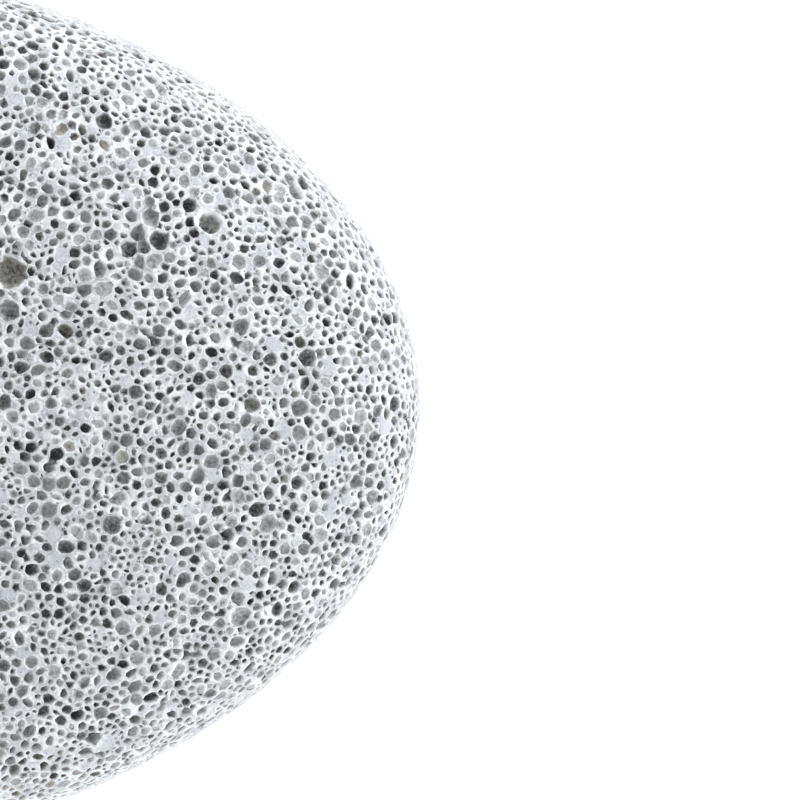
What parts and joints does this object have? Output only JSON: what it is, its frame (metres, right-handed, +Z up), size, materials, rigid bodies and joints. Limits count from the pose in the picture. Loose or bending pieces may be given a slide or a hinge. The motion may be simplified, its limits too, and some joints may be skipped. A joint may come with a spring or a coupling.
{
  "type": "pumice stone",
  "caption": "Oval, water-worn pumice pebble with a vesicle-pitted surface all round and a gently flattened underside to lie on.",
  "frame": {"origin": "middle of the stone in plan, on the surface that its flattened underside lies on", "axes": "+X along the stone's longest extent, +Y across it, +Z up through its thickness"},
  "size_m": [0.0994, 0.0612, 0.03],
  "materials": {
    "pumice": "matte"
  },
  "bodies": {
    "root": {"pumice_stone": "pumice"}
  },
  "joints": []
}
